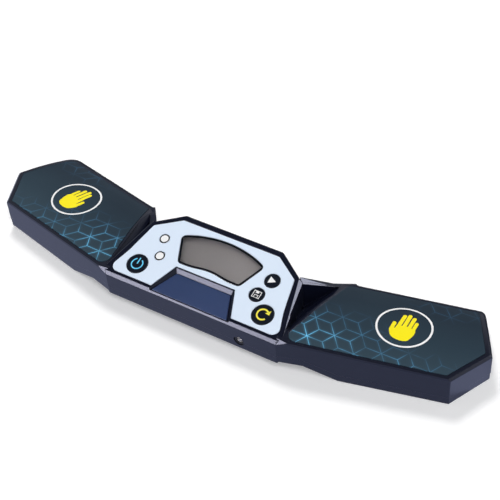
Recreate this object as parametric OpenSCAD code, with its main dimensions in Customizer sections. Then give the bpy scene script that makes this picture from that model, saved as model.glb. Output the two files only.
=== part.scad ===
// Speed cube timer. A swept body carries a touch pad on each wing and a tilted
// display block between them, with four buttons, a data socket in the front
// wall and two cells under the display.
// Millimetres, +Z up. The origin is on the table, under the middle of the body.
// The front wall, with the socket, faces -Y, and left and right are the user's.

/* [Body in plan] */
// Width over the noses of both wings
overall_w = 281; // [255:1:345]
// Width of the straight front wall between the wings
front_w = 98.8; // [94:0.2:112]
// Angle that each wing is swept back
wing_sweep = 13.4; // [9:0.2:17]
// Depth of a wing, measured across it
wing_d = 55.6; // [50:0.1:68]
// From the front corner of a tip out to its nose, along the wing
nose_out = 15.5; // [10:0.5:20]
// From the front wall back to the nose, across the wing
nose_back = 20.1; // [14:0.1:26]
// From the nose in to the back corner of the tip, along the wing
tip_rake = 9.7; // [5:0.1:14]
// From the front wall's end to the wing's inner back corner, along the wing
heel_u = 25.7; // [24:0.1:30]

/* [Wing tops] */
// Height of a wing's top at the front wall's end
wing_h = 20.1; // [18.5:0.1:24]
// Slope of a wing's top down to its tip
tip_fall = 1.7; // [0.5:0.1:2.5]
// Slope of a wing's top down to its back
back_fall = 2.6; // [1:0.1:4]
// Distance from the front wall at which a wing's top starts to curve down
crown_start = 20; // [16:0.5:26]
// Radius of that curve
crown_r = 130; // [120:5:200]
// Radius of the roll at the back of a wing's top
roll_r = 14; // [12:0.5:18]
// Width of the roll, in from the back wall
roll_w = 9; // [7:0.1:10]
// Chamfer along the edges of a tip
tip_chamfer = 1.2; // [0.6:0.1:1.6]
// Width of the chamfer beside the heel
heel_chamfer = 1.8; // [1:0.1:2.2]

/* [Display block] */
// Depth of the block from the front wall
block_d = 45.2; // [45:0.1:54]
// Width of the block's back wall
block_back_w = 57.2; // [57:0.2:66]
// Width of the block at the corners where the wings leave it
block_side_w = 85.2; // [84:0.2:92]
// Distance of those corners from the front wall
block_side_y = 35.8; // [34:0.1:40]
// Height of the block's top at the front wall
face_h = 19; // [18.6:0.1:22]
// Tilt of the block's top towards the user
face_tilt = 13.6; // [11:0.1:16]
// Chamfer along the front edge of the block
front_chamfer = 1.8; // [1:0.1:2.2]
// Width of the sloped shoulder between the block and a pocket
shoulder_w = 2.2; // [1.6:0.1:2.6]

/* [Walls] */
// Thickness of the shells' side walls
wall = 2; // [1.6:0.1:2.4]
// Thickness of the roof under a touch pad
roof_t = 2; // [1.6:0.1:2.4]
// Thickness of the deck under the face plate
deck_t = 1.6; // [1.4:0.1:1.9]
// Thickness of the lower shell's floor
floor_t = 2; // [1.6:0.1:2.4]
// Height of the lower shell's wall, up to the parting line
tray_h = 4.2; // [4:0.1:5]
// Step from the upper shell's side in to the lower shell's
seam_step = 0.25; // [0.1:0.05:0.4]
// Height of the arched underside of the block above the wings' underside
arch_h = 3.8; // [3.6:0.1:4]
// Height that the feet hold the lower shell off the table
foot_proud = 0.5; // [0.4:0.1:1]

/* [Face plate] */
// Thickness of the printed face plate
plate_t = 0.8; // [0.6:0.1:1]
// Edge of the face plate's front, from the front wall
plate_front = 2.7; // [2.4:0.1:3]
// Back edge of the face plate, from the front wall
plate_back = 41.4; // [40:0.1:42]
// Radius of the face plate's front corners
plate_corner_r = 3.5; // [2:0.5:4]
// Width of the display window at its top corners
window_top_w = 49; // [46:0.2:49.4]
// Width of the display window at its bottom corners
window_bottom_w = 35.8; // [34:0.2:37]
// Bottom corners of the window, up the slope of the face
window_low = 19.6; // [19.4:0.05:20.5]
// Top corners of the window, up the slope of the face
window_high = 34.4; // [33:0.1:35]
// Rise of the window's curved top above its corners
window_top_rise = 5.5; // [3:0.1:5.6]
// Rise of the wave in the middle of the window's bottom
window_bottom_rise = 1.4; // [0.8:0.05:2]
// Radius of the window's corners
window_corner_r = 2.8; // [1.5:0.1:3.2]
// Front width of the accent recess
accent_front_w = 47.4; // [42:0.2:50]
// Back width of the accent recess
accent_back_w = 33.4; // [30:0.2:38]
// Back edge of the accent recess, from the front wall
accent_back_y = 16.2; // [15:0.1:16.8]

/* [Buttons] */
// Radius of the power and reset buttons
big_button_r = 5.55; // [5:0.05:6]
// Radius of the play and save buttons
small_button_r = 3.95; // [3.5:0.05:4.2]
// Travel of every button
button_travel = 0.4; // [0.2:0.05:0.45]
// Gap round a button in its hole
button_gap = 0.2; // [0.1:0.05:0.3]
// Radius of an indicator light's window
light_r = 2.7; // [2.2:0.1:3]

/* [Data socket] */
// Radius of the socket's bore, for a 3.5 mm plug
socket_bore_r = 1.8; // [1.8:0.05:2]
// Length of the socket's bore
socket_bore_len = 12; // [10:0.5:13]
// Distance of the socket to the right of the middle
socket_x = 28.5; // [26.5:0.5:31]

/* [Cells] */
// Radius of an AAA cell
cell_r = 5.2; // [5:0.05:5.25]
// Length of an AAA cell over its button
cell_len = 44.5; // [43:0.1:45]
// Gap between the cells and the parts round them
cell_gap = 0.3; // [0.2:0.05:0.4]

/* [Touch pads] */
// Thickness of a pad's printed film
pad_t = 0.5; // [0.4:0.1:0.8]
// Height of the film above the shell round it
pad_proud = 0.1; // [0.05:0.05:0.2]
// Margin of shell in front of a pad
pad_front = 2.2; // [1.6:0.1:3]
// Margin of shell at a tip
pad_tip = 3.2; // [2.6:0.1:4]
// Margin of shell behind a pad
pad_back = 6.1; // [5:0.1:7]

/* [Hidden] */
$fn = 64;

// Past this length a cutting block has left the body.
far = 400;
// Height of a cut that leaves the body's top.
tall = 40;
// Gap between parts that are laid in place.
slip = 0.15;
// Gap between parts that are stuck or clamped together.
seat = 0.02;

// ---- Plan geometry ----------------------------------------------------------

function unit(v) = v / norm(v);
function left_of(v) = [-v.y, v.x];
function turned(p, a) = [p.x * cos(a) - p.y * sin(a), p.x * sin(a) + p.y * cos(a)];

// Where the line through p along d meets the line through q along e.
function meet(p, d, q, e) =
    p + d * ((q.x - p.x) * e.y - (q.y - p.y) * e.x) / (d.x * e.y - d.y * e.x);

// Counterclockwise outline p with its edges moved inwards: by d, or edge by
// edge when d is a list. Edge i runs from corner i to the next one.
function inset(p, d) = let (n = len(p)) [for (i = [0 : n - 1]) let (
        before = (i + n - 1) % n,
        a = left_of(unit(p[i] - p[before])),
        b = left_of(unit(p[(i + 1) % n] - p[i])),
        da = is_list(d) ? d[before] : d,
        db = is_list(d) ? d[i] : d)
    p[i] + [da * b.y - db * a.y, db * a.x - da * b.x] / (a.x * b.y - a.y * b.x)];

// Outline p with corner i rounded to radius r[i] by an arc of short edges.
function rounded(p, r, steps = 6) = let (n = len(p)) [for (i = [0 : n - 1]) let (
        a = unit(p[(i + n - 1) % n] - p[i]),
        b = unit(p[(i + 1) % n] - p[i]),
        half = acos(a * b) / 2,
        middle = p[i] + unit(a + b) * r[i] / sin(half),
        from = p[i] + a * r[i] / tan(half) - middle,
        to = p[i] + b * r[i] / tan(half) - middle,
        sweep = 180 - 2 * half)
    each r[i] == 0 ? [p[i]] : [for (k = [0 : steps])
        middle + (from * sin(sweep * (1 - k / steps)) + to * sin(sweep * k / steps)) / sin(sweep)]];

// Symmetrical outline from its right half, listed from front to back.
function both(p) = concat(p, [for (i = [len(p) - 1 : -1 : 0]) [-p[i].x, p[i].y]]);

// Arc of the given rise over the span from half back to -half, at height base.
function bow(half, base, rise, steps = 16) = let (
        r = (half * half + rise * rise) / (2 * rise),
        a = asin(half / r))
    [for (k = [0 : steps]) let (t = a * (1 - 2 * k / steps))
        [r * sin(t), base + rise - r * (1 - cos(t))]];

// ---- The body's corners, seen from above, with y = 0 at the front wall -------

kink = [front_w / 2, 0];
side_corner = [block_side_w / 2, block_side_y];
function from_wing(p) = kink + turned(p, wing_sweep);
function to_wing(p) = turned(p - kink, -wing_sweep);

nose_u = (overall_w / 2 - kink.x + nose_back * sin(wing_sweep)) / cos(wing_sweep);
tip_front = [nose_u - nose_out, 0];
tip_nose = [nose_u, nose_back];
tip_back = [nose_u - tip_rake, wing_d];
heel = [heel_u, wing_d];
wing_outline = [[0, 0], tip_front, tip_nose, tip_back, heel, to_wing(side_corner)];
body_d = from_wing(tip_back).y;

// The shoulder line lies beside the block's side, one shoulder's width out.
side_dir = unit(kink - side_corner);
shoulder = side_corner + left_of(side_dir) * shoulder_w;
wing_dir = [cos(wing_sweep), sin(wing_sweep)];
back_dir = unit(side_corner - [block_back_w / 2, block_d]);
block_outline = both([kink, meet(kink, wing_dir, shoulder, side_dir),
    meet(side_corner, back_dir, shoulder, side_dir), [block_back_w / 2, block_d]]);
// Edges of the block: wing stub, shoulder, back corner, back, and their mirrors.
block_edges = [1.2, shoulder_w, 0.8, 0.8, 0.8, shoulder_w, 1.2, front_chamfer];
block_edge_drop = front_chamfer;

// Sheet or block under the outline p.
module plate(p, low, high) {
    translate([0, 0, low]) linear_extrude(high - low) polygon(p);
}

// Puts its children at the body's own place: the front wall's middle is at
// x = 0, and the wings' underside is on top of the feet.
module in_body() {
    translate([0, -body_d / 2, foot_proud]) children();
}

// Child for the right wing, in the wing's own frame: x along the wing from the
// end of the front wall, y across it, z up.
module on_wing(side) {
    mirror([side < 0 ? 1 : 0, 0, 0]) translate(kink) rotate(wing_sweep) children();
}

// Frame of the block's tilted top: x to the right, y up the slope, z out of it.
module on_face(p = [0, 0], out = 0) {
    translate([0, 0, face_h]) rotate([face_tilt, 0, 0]) translate([p.x, p.y, out]) children();
}

// ---- Underside and parting line ---------------------------------------------

// The underside is flat under the wings and steps up to an arch in the middle.
arch_step = 1.2;
arch_crest = 1.8;
arch_line = [kink + [0, arch_h], kink + [1, arch_h + arch_step],
    kink + [12.4, arch_h + arch_crest], kink + [28.9, 0]];

// Everything above the underside's line, raised by lift.
module above_arch(lift) {
    rotate([90, 0, 0]) translate([0, lift, -far]) linear_extrude(2 * far)
        polygon(concat(arch_line, [[far, 0], [far, far], [-far, far], [-far, 0]],
            [for (i = [3 : -1 : 0]) [-arch_line[i].x, arch_line[i].y]]));
}

// ---- Crowned wing tops --------------------------------------------------------

// Arc about a centre c. Its angles count from straight up, towards the back.
function arc(c, r, from, to, steps) = [for (k = [0 : steps]) let (
        a = from + (to - from) * k / steps)
    c + r * [sin(a), cos(a)]];

// The curve is tangent to the flat in front of it and to the roll behind it.
crown_centre = [crown_start, -crown_start * tan(back_fall)]
    - crown_r * [sin(back_fall), cos(back_fall)];
roll_angle = asin((wing_d - roll_w - crown_centre.x) / crown_r);
roll_centre = crown_centre + (crown_r - roll_r) * [sin(roll_angle), cos(roll_angle)];
// Section across a wing, below its top, with 0 at the top of the front wall.
crown = concat([[-far, -far], [roll_centre.x + roll_r, -far]],
    arc(roll_centre, roll_r, 86, roll_angle, 8),
    arc(crown_centre, crown_r, roll_angle, back_fall, 12),
    [[-far, far * tan(back_fall)]]);

// Everything below a wing's top, lowered by drop, in the wing's frame.
module under_crown(drop) {
    translate([0, 0, wing_h - drop]) rotate([0, tip_fall, 0]) translate([-far / 2, 0, 0])
        rotate([90, 0, 90]) linear_extrude(far) polygon(crown);
}

// Part of a wing inside the outline p and below the top, in the wing's frame.
module wing_part(p, drop) {
    intersection() {
        plate(p, -1, wing_h + 2);
        under_crown(drop);
    }
}

// Everything below the block's top, lowered by drop.
module under_face(drop) {
    on_face(out = -drop) translate([-far / 2, -far / 2, -far]) cube([far, far, far]);
}

module block_part(p, drop) {
    intersection() {
        plate(p, -1, face_h + block_d);
        under_face(drop);
    }
}

// ---- Touch pads ----------------------------------------------------------------

// The pad's inner edge runs from beside the block's front corner to the heel.
pad_inner_front = [1.6, 0];
pad_field = [pad_inner_front, tip_front, tip_nose, tip_back, heel];
pad_sharp = inset(pad_field, [pad_front, pad_tip, pad_tip, pad_back, 0.2]);
pad_corner_r = 4;
pad_outline = rounded(pad_sharp, [pad_corner_r, 0.6, 0.6, 0.6, 0.6]);
pad_sunk = pad_t - pad_proud;
roof = pad_sunk + roof_t;

// Layer that follows a wing's top, between two depths below it.
module wing_layer(p, high, low) {
    difference() {
        wing_part(p, high);
        under_crown(low);
    }
}

module touch_pad(side) {
    color([0.18, 0.24, 0.28]) in_body() on_wing(side) wing_layer(pad_outline, -pad_proud, pad_sunk);
}
module left_touch_pad() { touch_pad(-1); }
module right_touch_pad() { touch_pad(1); }

// Conductive foil stuck under the roof, inside the ring of screw bosses.
foil_t = 0.3;
foil_outline = inset(pad_sharp, [10.5, 8, 8, 8.6, 12]);
module sensor_foil(side) {
    color([0.78, 0.5, 0.3]) in_body() on_wing(side)
        wing_layer(foil_outline, roof + seat, roof + seat + foil_t);
}
module left_sensor_foil() { sensor_foil(-1); }
module right_sensor_foil() { sensor_foil(1); }

// ---- Pockets between the block and the wings ------------------------------------

rib_dir = unit(from_wing(heel) - side_corner);
rib_t = 3;
rib_inner = side_corner - left_of(rib_dir) * rib_t;
pad_edge_dir = turned(unit(heel - pad_inner_front), wing_sweep);
bevel_w = 4.3;
pocket_side = from_wing(pad_inner_front) + left_of(pad_edge_dir) * bevel_w;
pocket_front = 15.5;
pocket_floor = 12.4;
pocket_floor_t = 1.6;
pocket_wall = 1.6;
across = [1, 0];
pocket_outline = [
    meet([0, pocket_front], across, shoulder, side_dir),
    meet([0, pocket_front], across, pocket_side, pad_edge_dir),
    meet(rib_inner, rib_dir, pocket_side, pad_edge_dir),
    meet(rib_inner, rib_dir, shoulder, side_dir)];

// The wing's inner edge slopes down into the pocket from a line that lies
// bevel_margin inside the pad's inner edge, and sinks with the crown.
bevel_margin = 0.9;
bevel_angle = 36;
bevel_start = 9;
bevel_sink = 0.035;
bevel_turn = -atan2(heel.x - pad_inner_front.x, heel.y - pad_inner_front.y);
bevel_fall = atan(tan(back_fall) * cos(bevel_turn) - tan(tip_fall) * sin(bevel_turn) + bevel_sink);
module inner_bevel() {
    translate([pad_inner_front.x, 0, wing_h]) rotate([0, 0, bevel_turn]) rotate([-bevel_fall, 0, 0])
        translate([-bevel_margin, bevel_start, 0]) rotate([0, -bevel_angle, 0])
        translate([-20, 0, 0]) cube([20, wing_d, 20]);
}

// The rib closes the pocket at the back. Its top falls from the block's corner
// to a knee, and less steeply from there to the heel.
rib_high = face_h + block_side_y * tan(face_tilt) - 0.4;
rib_low = tray_h + arch_h;
rib_knee = [17.6, 15.3];
rib_end = [norm(from_wing(heel) - side_corner), 9.4];
// Facet that slopes the rib's top down into the pocket. It is widest at the
// block. Its fall is per unit along the rib and per unit towards the pocket.
rib_facet = [atan(0.546), atan(0.787 * cos(atan(0.546)))];
module rib() {
    translate(side_corner) rotate(atan2(rib_dir.y, rib_dir.x)) difference() {
        rotate([90, 0, 0]) linear_extrude(rib_t)
            polygon([[0, rib_low], [rib_end.x, rib_low], rib_end, rib_knee, [0, rib_high]]);
        translate([0, 0, rib_high]) rotate([0, rib_facet[0], 0]) rotate([rib_facet[1], 0, 0])
            translate([-1, -10, 0]) cube([40, 20, 20]);
    }
}

// ---- Accent recess in the front of the face ---------------------------------------

accent_floor_z = 18.3;
accent_tilt = 7;
accent_slope_w = 1.3;
accent_t = 0.5;
accent_deck_t = 1.5;
accent_lean = (accent_front_w - accent_back_w) / 2 / accent_back_y;
accent_rim = both([[accent_front_w / 2 + accent_lean * 6, -6], [accent_back_w / 2, accent_back_y]]);
accent_floor = inset(accent_rim, [accent_slope_w, accent_slope_w, accent_slope_w, 0]);

module on_accent() {
    translate([0, 0, accent_floor_z]) rotate([accent_tilt, 0, 0]) children();
}

module accent_recess() {
    hull() {
        on_accent() plate(accent_floor, 0, 0.01);
        intersection() {
            plate(accent_rim, face_h - 2, face_h + 30);
            on_face(out = 0.01) translate([-far / 2, -far / 2, 0]) cube([far, far, 0.01]);
        }
    }
}

module accent_panel() {
    color([0.2, 0.26, 0.42]) in_body() intersection() {
        on_accent() plate(inset(accent_floor, [slip, slip, slip, 0]), 0, accent_t);
        translate([0, front_chamfer * 0.6, 0]) plate([[-far, 0], [far, 0], [far, far], [-far, far]], 0, far);
    }
}

// ---- Places on the face, up the slope from the front wall ---------------------------

power_at = [-36.6, 10.7];
reset_at = [36.6, 10.7];
save_at = [28.4, 19.3];
play_at = [31.6, 29.1];
start_light_at = [-28.4, 19.3];
ready_light_at = [-31.6, 29.1];
big_buttons = [power_at, reset_at];
small_buttons = [play_at, save_at];
lights = [ready_light_at, start_light_at];

// The window's top is an arc. Its bottom is straight, with one wave in the middle.
wave_half = 13.2;
wave_steps = 14;
window_bottom = concat([[-window_bottom_w / 2, window_low]],
    [for (k = [0 : wave_steps]) let (t = 2 * k / wave_steps - 1)
        [wave_half * t, window_low + window_bottom_rise * (1 + cos(180 * t)) / 2]],
    [[window_bottom_w / 2, window_low]]);
window_top = bow(window_top_w / 2, window_high, window_top_rise);
function corners_only(p, r) = [for (k = [0 : len(p) - 1]) k == 0 || k == len(p) - 1 ? r : 0];
window = rounded(concat(window_bottom, window_top),
    concat(corners_only(window_bottom, window_corner_r), corners_only(window_top, window_corner_r)));

// Layers below the face, measured down from the top of the shell round it.
plate_sunk = plate_t - 0.1;
deck = plate_sunk + deck_t;
lens_flange_t = 1.2;
glass_top = deck + lens_flange_t;
glass_t = 1.3;
board_top = 6.2;
board_t = 1.2;

// Length up the face's slope for each unit of depth.
up = 1 / cos(face_tilt);
// The plate's side is straight beside the window, bends at its waist and flares
// out to the front corner.
plate_waist = [side_corner.x + 2.5, 15.8];
plate_side = [side_corner.x - 1.4, (plate_back - 8.4) * up];
plate_flare = [kink.x + 0.2, plate_front * up];
waist_r = 40;
plate_sharp = both([[accent_back_w / 2 + 0.5, (accent_back_y + 0.7) * up],
    [accent_front_w / 2 - 0.4, plate_front * up],
    plate_flare,
    plate_waist,
    plate_side,
    [block_back_w / 2 - 0.5, plate_back * up]]);
plate_radii = [0.3, 0.3, plate_corner_r, waist_r, 0.8, 0.8];
plate_outline = rounded(plate_sharp, concat(plate_radii, [for (k = [5 : -1 : 0]) plate_radii[k]]));

// Every hole that goes through the face plate and the deck under it.
module face_holes() {
    depth = deck + 3;
    for (p = big_buttons) on_face(p, -deck - 1) cylinder(r = big_button_r + button_gap, h = depth);
    for (p = small_buttons) on_face(p, -deck - 1) cylinder(r = small_button_r + button_gap, h = depth);
    for (p = lights) on_face(p, -deck - 1) cylinder(r = light_r + slip, h = depth);
    on_face(out = -deck - 1) linear_extrude(depth) polygon(inset(window, -slip));
}

module face_plate() {
    color([0.88, 0.93, 0.98]) in_body() difference() {
        on_face(out = -plate_sunk) linear_extrude(plate_t) polygon(plate_outline);
        face_holes();
    }
}

// ---- Screws ---------------------------------------------------------------------

// Case screws: two rows in each wing, clear of the foil, and four in the block.
wing_screws = [[38, 8], [tip_front.x - 7, 8], [tip_back.x - 8.5, wing_d - 9.5], [38, wing_d - 9.5]];
block_screws = [[kink.x - 4.9, 5.6], [block_side_w / 2 - 8.6, block_side_y + 1.5]];
boss_r = 3;
case_pilot_r = 1.2;
case_shank_r = 1.15;
case_head_r = 2.3;
case_head_h = 1.5;
case_screw_len = 8;
// Depth of the screw head's bottom above the underside.
case_head_sunk = 0.5;

// Its children at each case screw. $low is the underside's height there.
module at_case_screws() {
    for (side = [-1, 1]) {
        for (p = wing_screws) { $low = 0; on_wing(side) translate(p) children(); }
        for (p = block_screws) { $low = arch_h; mirror([side < 0 ? 1 : 0, 0, 0]) translate(p) children(); }
    }
}

board_screw_at = [for (side = [-1, 1]) for (p = [[37.6, 21.2], [17, 8]]) [side * p.x, p.y]];
board_boss_r = 2.3;
board_pilot_r = 0.95;
board_shank_r = 0.9;
board_hole_r = 1.2;
board_head_r = 1.8;
board_head_h = 1.1;
board_screw_len = 4.4;

// ---- Shells -----------------------------------------------------------------------

socket_z = arch_h + 4.7;
socket_nose_r = 2.65;
module socket_hole() {
    translate([socket_x, -1, socket_z]) rotate([-90, 0, 0])
        cylinder(r = socket_nose_r + slip, h = wall + 3);
}

module wing_hull() {
    edge = tip_chamfer;
    hull() {
        wing_part(wing_outline, edge);
        wing_part(inset(wing_outline, [0.25, edge, edge, 0.25, heel_chamfer, 0]), 0);
    }
}

module block_hull() {
    hull() {
        block_part(block_outline, block_edge_drop);
        block_part(inset(block_outline, block_edges), 0);
    }
}

// The block's top reaches out over the wing's root, round the plate's flared
// front corner.
cheek_back = [kink.x + 18 * side_dir.x / side_dir.y + 0.95, 18];
cheek = [kink - [4, 0], kink, from_wing([1.7, 0]), from_wing([2.6, 5.3]), cheek_back, cheek_back - [8, 0]];
cheek_edges = [front_chamfer, front_chamfer, 0.9, 0.9, 0, 0];
module cheek_hull() {
    hull() {
        block_part(cheek, block_edge_drop);
        block_part(inset(cheek, cheek_edges), 0);
    }
}

// Facet that brings a wing's front edge down to the block's chamfer.
facet_run = 7;
facet_drop = 3;
module kink_facet() {
    translate([facet_run, 0, wing_h]) rotate([0, -atan(facet_drop / facet_run), 0]) rotate([50, 0, 0])
        translate([-20, -20, 0]) cube([20, 40, 20]);
}

// How far a wing's hollow reaches past its inner edge, into the block's hollow.
join = 1.5;

// Hollow of the upper shell, without its pockets, bosses and accent deck.
module hollows() {
    for (side = [-1, 1]) on_wing(side)
        wing_part(inset(wing_outline, [wall, wall, wall, wall, rib_t + 1, -join]), roof);
    block_part(inset(block_outline, wall), deck);
}

module bosses() {
    at_case_screws() translate([0, 0, $low + tray_h]) cylinder(r = boss_r, h = tall);
    for (p = board_screw_at) on_face(p, -board_top) cylinder(r = board_boss_r, h = board_top);
}

// Outer form of the upper shell, down to below the parting line.
module upper_form() {
    for (side = [-1, 1]) {
        on_wing(side) difference() {
            wing_hull();
            inner_bevel();
            kink_facet();
        }
        mirror([side < 0 ? 1 : 0, 0, 0]) {
            rib();
            cheek_hull();
        }
    }
    block_hull();
}

module upper_walls() {
    difference() {
        union() upper_form();
        difference() {
            hollows();
            for (side = [-1, 1]) mirror([side < 0 ? 1 : 0, 0, 0])
                plate(inset(pocket_outline, -pocket_wall), pocket_floor - pocket_floor_t, tall);
            bosses();
            on_accent() translate([0, 0, -accent_deck_t]) plate(inset(accent_rim, -1), 0, tall);
        }
    }
}

// Pockets, and the seats of the pads, the face plate and the accent panel.
module upper_seats() {
    difference() {
        upper_walls();
        for (side = [-1, 1]) {
            mirror([side < 0 ? 1 : 0, 0, 0]) plate(pocket_outline, pocket_floor, tall);
            on_wing(side) wing_layer(inset(pad_outline, -slip), -3, pad_sunk);
        }
        on_face(out = -plate_sunk) linear_extrude(5) polygon(inset(plate_outline, -slip));
        face_holes();
        accent_recess();
    }
}

module top_shell() {
    color([0.16, 0.17, 0.22]) in_body() difference() {
        upper_seats();
        socket_hole();
        at_case_screws() translate([0, 0, $low + tray_h - 1]) cylinder(r = case_pilot_r, h = case_screw_len);
        for (p = board_screw_at) on_face(p, -board_top - 1) cylinder(r = board_pilot_r, h = 4.2);
        difference() {
            translate([-far / 2, -far / 2, -far / 2]) cube([far, far, far]);
            above_arch(tray_h);
        }
    }
}

// Prism over the whole body's outline, moved in by the given distance, and by
// rib_d along the ribs.
module footprint(d, rib_d, low, high) {
    for (side = [-1, 1]) on_wing(side)
        plate(inset(wing_outline, [d, d, d, d, rib_d, -min(d, join)]), low, high);
    plate(inset(block_outline, d), low, high);
}

// ---- Cell compartment ------------------------------------------------------------

cell_pitch = 2 * cell_r + cell_gap;
back_cell_y = block_d - wall - cell_gap - cell_r;
front_cell_y = back_cell_y - cell_pitch;
bay_y = front_cell_y - cell_pitch / 2;
bay = [2 * 25.2, block_d - wall - bay_y];
bay_wall = 1.4;
bay_wall_top = 14.6;
cover_t = 1.8;
cell_z = arch_h + cover_t + cell_gap + cell_r;
contact_t = 0.4;
contact_x = bay.x / 2 - contact_t - slip;
// The cover's tongues run in grooves along both sides of the bay.
tongue = [1.2, 0.7];
tongue_low = 0.6;
cover_gap = 0.12;

module cover_shape(grow) {
    translate([-bay.x / 2 - grow, bay_y - grow, arch_h])
        cube([bay.x + 2 * grow, block_d - bay_y + 2 * grow, cover_t + grow]);
    translate([-bay.x / 2 - tongue.x - grow, bay_y - grow, arch_h + tongue_low - grow])
        cube([bay.x + 2 * tongue.x + 2 * grow, block_d - bay_y + 2 * grow, tongue.y + 2 * grow]);
}

module battery_cover() {
    color([0.12, 0.13, 0.17]) in_body() difference() {
        cover_shape(0);
        // Ridges for the thumb.
        for (k = [0 : 4]) translate([0, block_d - 4 - 1.6 * k, arch_h])
            rotate([0, 90, 0]) cylinder(r = 0.4, h = 16, center = true, $fn = 24);
    }
}

module bay_walls() {
    translate([-bay.x / 2 - bay_wall, bay_y - bay_wall, arch_h])
        cube([bay.x + 2 * bay_wall, bay.y + bay_wall - slip, bay_wall_top - arch_h]);
}

foot_r = 5;
foot_t = 1.5;
foot_at = [[57, 9], [nose_u - 11.5, nose_back + 5], [60, wing_d - 9]];

module bottom_shell() {
    lip_t = 1;
    lip_h = 1.4;
    lip_gap = wall + slip;
    rib_gap = rib_t + 1 + slip;
    g = seam_step;
    color([0.15, 0.16, 0.2]) in_body() difference() {
        union() {
            difference() {
                union() {
                    for (side = [-1, 1]) on_wing(side)
                        wing_part(inset(wing_outline, [g, g, g, g, g, -g]), 0);
                    plate(inset(block_outline, g), -1, face_h);
                }
                difference() {
                    translate([-far / 2, -far / 2, -far / 2]) cube([far, far, far]);
                    above_arch(0);
                }
                above_arch(tray_h);
                intersection() {
                    footprint(wall, wall, -1, face_h);
                    above_arch(floor_t);
                }
            }
            // Lip that locates the upper shell.
            difference() {
                intersection() {
                    footprint(lip_gap, rib_gap, 0, face_h);
                    above_arch(floor_t - 0.5);
                }
                footprint(lip_gap + lip_t, rib_gap + lip_t, -1, face_h + 1);
                above_arch(tray_h + lip_h);
                for (side = [-1, 1]) mirror([side < 0 ? 1 : 0, 0, 0])
                    plate(inset(pocket_outline, -pocket_wall - lip_t), 0, tall);
                at_case_screws() cylinder(r = boss_r + slip, h = tall);
                // The roof comes down too low for the lip behind the heels.
                for (side = [-1, 1]) on_wing(side)
                    translate([heel_u - 4, wing_d - 8, 0]) cube([18, 8, tall]);
                translate([-bay.x / 2 - 4, block_d - 6, 0]) cube([bay.x + 8, 8, tall]);
            }
            at_case_screws() translate([0, 0, $low + 0.2]) cylinder(r = boss_r, h = tray_h - 0.2 - seat);
            bay_walls();
        }
        cover_shape(cover_gap);
        translate([-bay.x / 2, bay_y, 0]) cube([bay.x, bay.y, tall]);
        at_case_screws() {
            translate([0, 0, $low - 1]) cylinder(r = case_head_r + 0.2, h = 1 + case_head_sunk + case_head_h);
            translate([0, 0, $low - 1]) cylinder(r = case_shank_r + 0.25, h = tray_h + 3);
        }
        for (side = [-1, 1]) for (p = foot_at) on_wing(side)
            translate([p.x, p.y, -1]) cylinder(r = foot_r + slip, h = 1 + foot_t - foot_proud);
        socket_hole();
        translate([socket_x - socket_w / 2 - slip, wall, socket_z - socket_h / 2])
            cube([socket_w + 2 * slip, 4, socket_h + 2]);
    }
}

// ---- Display ------------------------------------------------------------------------

glass = [48.4, 22];
glass_low = 18.9;
frame_rim = [0.9, 0.3];

module display_lens() {
    color([0.45, 0.45, 0.45]) in_body() {
        on_face(out = -glass_top + seat) linear_extrude(glass_top - 0.1 - seat) polygon(window);
        on_face(out = -glass_top + seat) linear_extrude(lens_flange_t - 2 * seat) polygon(inset(window, -1));
    }
}

module display_glass() {
    color([0.55, 0.54, 0.52]) in_body() on_face([-glass.x / 2, glass_low], -glass_top - glass_t)
        cube([glass.x, glass.y, glass_t]);
}

// Tray that holds the glass over the board, open where the connector stands.
module display_frame() {
    depth = board_top - glass_top;
    ledge = 1.2;
    color([0.9, 0.9, 0.88]) in_body() difference() {
        on_face([-glass.x / 2 - frame_rim.x, glass_low - frame_rim.y], -board_top)
            cube([glass.x + 2 * frame_rim.x, glass.y + 2 * frame_rim.y, depth - seat]);
        on_face([-glass.x / 2 - slip, glass_low - slip], -glass_top - glass_t)
            cube([glass.x + 2 * slip, glass.y + 2 * slip, depth]);
        on_face([-glass.x / 2 + ledge, glass_low - slip], -board_top - 1)
            cube([glass.x - 2 * ledge, glass.y + 2 * slip, depth]);
    }
}

module display_connector() {
    color([0.85, 0.55, 0.6]) in_body() on_face([-glass.x / 2 + 3, glass_low + 0.6], -board_top)
        cube([glass.x - 6, 2, board_top - glass_top - glass_t]);
}

// ---- Main board -----------------------------------------------------------------------

board_outline = both([[40, 5.2], [40, 32.3], [28, 32.3], [28, 42.4]]);

module main_board() {
    color([0.1, 0.35, 0.2]) in_body() difference() {
        on_face(out = -board_top - board_t) linear_extrude(board_t) polygon(board_outline);
        for (p = board_screw_at) on_face(p, -board_top - board_t - 1) cylinder(r = board_hole_r, h = board_t + 2);
    }
}

module controller_chip() {
    color([0.08, 0.08, 0.09]) in_body() on_face([-5, 8.5], -board_top - board_t - 1.4) cube([10, 10, 1.4]);
}

module buzzer() {
    color([0.1, 0.1, 0.1]) in_body() on_face([-28, 12.5], -board_top - board_t - 3.4) difference() {
        cylinder(r = 6, h = 3.4);
        translate([0, 0, -1]) cylinder(r = 1, h = 2.2);
    }
}

module indicator_leds() {
    color([0.95, 0.95, 0.9]) in_body() for (p = lights) on_face(p, -board_top) {
        cylinder(r = 1.9, h = 0.6);
        cylinder(r = 1.5, h = 1.2);
        translate([0, 0, 1.2]) intersection() {
            sphere(r = 1.5);
            cylinder(r = 2, h = 2);
        }
    }
}

module light_window(p) {
    color([0.97, 0.97, 0.97]) in_body() on_face(p, -deck - 0.6) {
        cylinder(r = light_r + 0.8, h = 0.6 - seat);
        cylinder(r = light_r, h = deck + 0.6 + 0.05);
    }
}
module ready_light_window() { light_window(ready_light_at); }
module start_light_window() { light_window(start_light_at); }

// ---- Buttons and their switches --------------------------------------------------------

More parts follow.
